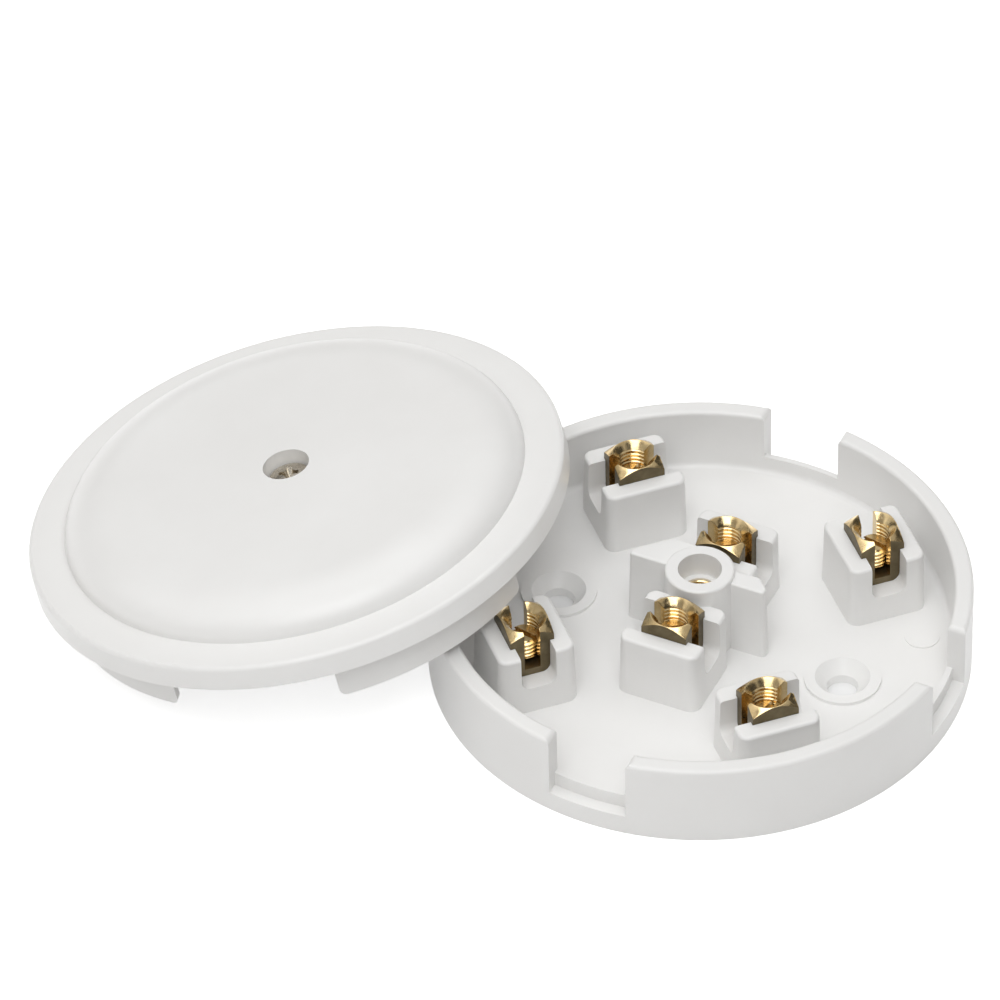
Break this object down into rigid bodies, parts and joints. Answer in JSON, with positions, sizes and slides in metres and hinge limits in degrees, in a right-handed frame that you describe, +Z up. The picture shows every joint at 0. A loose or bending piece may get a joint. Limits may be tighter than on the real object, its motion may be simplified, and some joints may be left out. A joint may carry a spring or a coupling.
{
  "type": "junction box",
  "caption": "Round moulded junction box, open, with brass screw terminals in moulded pockets and its domed lid leaning on the rim.",
  "frame": {"origin": "middle of the base's flat underside", "axes": "+X through one fixing hole, +Z up out of the open base"},
  "size_m": [0.1549, 0.1029, 0.0333],
  "materials": {
    "moulded_white": "smooth glossy moulded plastic",
    "brass": "machined brass",
    "plated_steel": "zinc plated"
  },
  "bodies": {
    "box": {"base": "moulded_white", "lid": "moulded_white", "post_insert": "brass", "terminal_1": "brass", "terminal_2": "brass", "terminal_3": "brass", "terminal_4": "brass", "terminal_5": "brass", "terminal_6": "brass"},
    "lid_screw": {"lid_screw": "plated_steel"},
    "terminal_screw_1": {"terminal_screw_1": "brass"},
    "terminal_screw_2": {"terminal_screw_2": "brass"},
    "terminal_screw_3": {"terminal_screw_3": "brass"},
    "terminal_screw_4": {"terminal_screw_4": "brass"},
    "terminal_screw_5": {"terminal_screw_5": "brass"},
    "terminal_screw_6": {"terminal_screw_6": "brass"}
  },
  "joints": [
    {"name": "lid_screw_slide", "type": "slide", "parent": "box", "child": "lid_screw", "axis": [-0.228, -0.0064, 0.9736], "range_m": [0, 0.008]},
    {"name": "terminal_screw_1_slide", "type": "slide", "parent": "box", "child": "terminal_screw_1", "axis": [0, 0, 1], "range_m": [-0.00045, 0.006]},
    {"name": "terminal_screw_2_slide", "type": "slide", "parent": "box", "child": "terminal_screw_2", "axis": [0, 0, 1], "range_m": [-0.00045, 0.006]},
    {"name": "terminal_screw_3_slide", "type": "slide", "parent": "box", "child": "terminal_screw_3", "axis": [0, 0, 1], "range_m": [-0.00045, 0.006]},
    {"name": "terminal_screw_4_slide", "type": "slide", "parent": "box", "child": "terminal_screw_4", "axis": [0, 0, 1], "range_m": [-0.00045, 0.006]},
    {"name": "terminal_screw_5_slide", "type": "slide", "parent": "box", "child": "terminal_screw_5", "axis": [0, 0, 1], "range_m": [-0.00045, 0.006]},
    {"name": "terminal_screw_6_slide", "type": "slide", "parent": "box", "child": "terminal_screw_6", "axis": [0, 0, 1], "range_m": [-0.00045, 0.006]}
  ]
}
